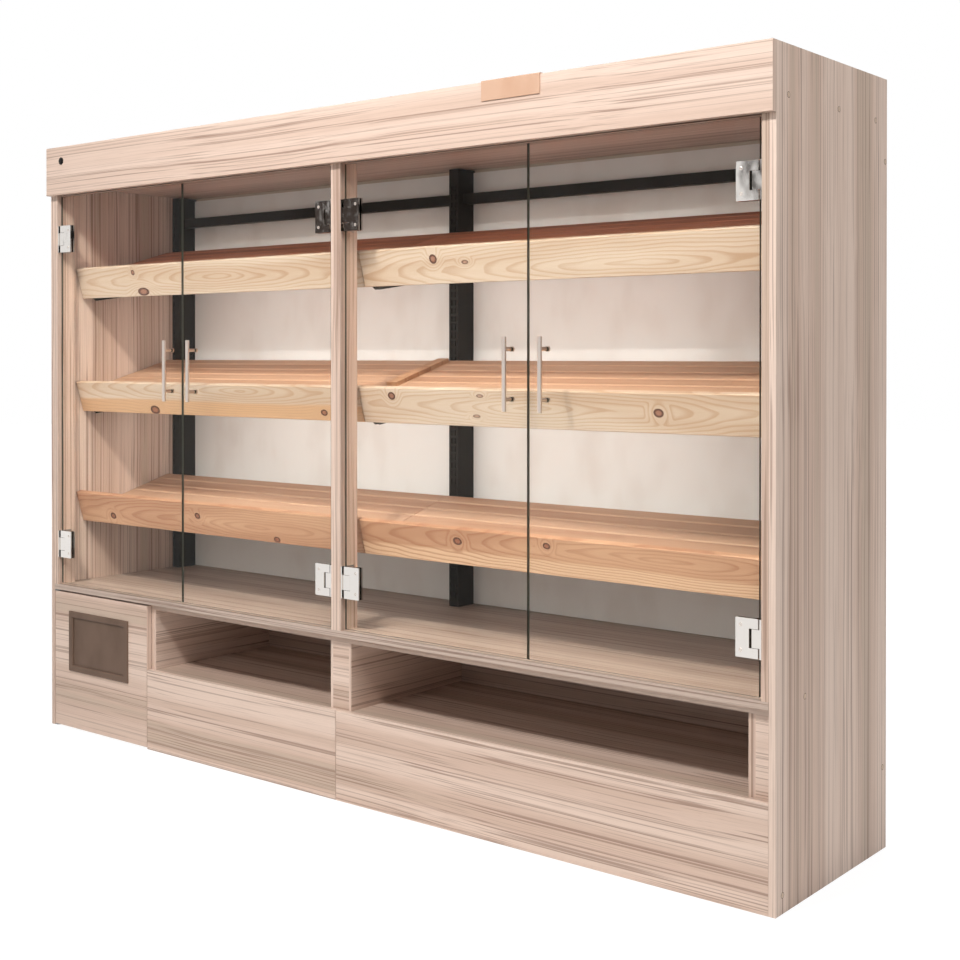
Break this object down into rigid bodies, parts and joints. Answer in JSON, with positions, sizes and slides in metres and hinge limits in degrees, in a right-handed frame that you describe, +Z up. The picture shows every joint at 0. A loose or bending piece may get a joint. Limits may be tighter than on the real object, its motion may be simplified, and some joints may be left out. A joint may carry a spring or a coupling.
{
  "type": "bread display shelf",
  "caption": "Tall bread display cabinet with four hinged glass doors over sloping pine shelves on slotted uprights, two open niches and a service door in the base.",
  "frame": {"origin": "on the floor under the middle of the whole cabinet's bounding box", "axes": "+X along the cabinet to the right as seen from the front, +Y from the glass doors towards the back, +Z up"},
  "size_m": [2.712, 0.622, 1.953],
  "materials": {
    "laminate": "wood-print melamine laminate on chipboard, satin",
    "laminate_back": "plain melamine backing board, matt",
    "pine": "planed pine, clear matt lacquer",
    "upright_steel": "dark grey powder coat, satin",
    "panel_steel": "off-white powder coat, satin",
    "glass": "clear toughened float glass, ground edges",
    "chrome": "polished chrome",
    "brushed": "brushed stainless steel",
    "steel": "zinc-plated steel",
    "brown_plastic": "brown moulded plastic, matt",
    "black_plastic": "black moulded plastic, satin",
    "tab": "pale orange-beige coated sheet"
  },
  "bodies": {
    "cabinet": {"access_pivot_brackets": "steel", "apron_middle": "laminate", "apron_right": "laminate", "back_boards": "laminate_back", "ceiling_board": "laminate", "centre_post": "laminate", "compartment_divider": "laminate", "cross_beams": "upright_steel", "deck_board": "laminate", "door_catch": "black_plastic", "fascia_board": "laminate", "fascia_tab": "tab", "filler_centre": "laminate", "filler_right": "laminate", "floor_support": "laminate", "front_board_bottom_left": "pine", "front_board_bottom_right": "pine", "front_board_middle_left": "pine", "front_board_middle_right": "pine", "front_board_top_left": "pine", "front_board_top_right": "pine", "header_rail": "laminate", "hinge_wall_plates": "chrome", "joint_batten": "pine", "niche_backs": "laminate", "niche_floor": "laminate", "niche_walls": "laminate", "shelf_battens": "pine", "shelf_brackets": "upright_steel", "side_panel_left": "laminate", "side_panel_right": "laminate", "slats_bottom": "pine", "slats_middle": "pine", "slats_top": "pine", "steel_back_panels": "panel_steel", "stile_left": "laminate", "stile_right": "laminate", "sub_deck": "laminate", "switch_bezel": "black_plastic", "upright_centre": "upright_steel", "upright_left": "upright_steel", "upright_right": "upright_steel"},
    "door_1": {"glass_door_1": "glass", "hinge_clamps_1": "chrome", "door_handle_1": "brushed"},
    "door_2": {"glass_door_2": "glass", "hinge_clamps_2": "chrome", "door_handle_2": "brushed"},
    "door_3": {"glass_door_3": "glass", "hinge_clamps_3": "chrome", "door_handle_3": "brushed"},
    "door_4": {"glass_door_4": "glass", "hinge_clamps_4": "chrome", "door_handle_4": "brushed"},
    "access_leaf": {"access_door": "laminate", "access_bezel": "brown_plastic", "access_insert": "brown_plastic", "access_pivot_pins": "steel"},
    "switch_cap": {"switch_button": "black_plastic"}
  },
  "joints": [
    {"name": "door_1_hinge", "type": "hinge", "parent": "cabinet", "child": "door_1", "pos_m": [-1.298, -0.276, 0], "axis": [0, 0, -1], "range_deg": [0, 90]},
    {"name": "door_2_hinge", "type": "hinge", "parent": "cabinet", "child": "door_2", "pos_m": [-0.047, -0.276, 0], "axis": [0, 0, 1], "range_deg": [0, 90]},
    {"name": "door_3_hinge", "type": "hinge", "parent": "cabinet", "child": "door_3", "pos_m": [0.033, -0.276, 0], "axis": [0, 0, -1], "range_deg": [0, 90]},
    {"name": "door_4_hinge", "type": "hinge", "parent": "cabinet", "child": "door_4", "pos_m": [1.298, -0.276, 0], "axis": [0, 0, 1], "range_deg": [0, 90]},
    {"name": "access_door_hinge", "type": "hinge", "parent": "cabinet", "child": "access_leaf", "pos_m": [-1.326, -0.281, 0], "axis": [0, 0, -1], "range_deg": [0, 100]},
    {"name": "switch_press", "type": "slide", "parent": "cabinet", "child": "switch_cap", "axis": [0, 1, 0], "range_m": [0, 0.002], "stiffness_N_per_m": 400, "springref_m": -0.002}
  ]
}
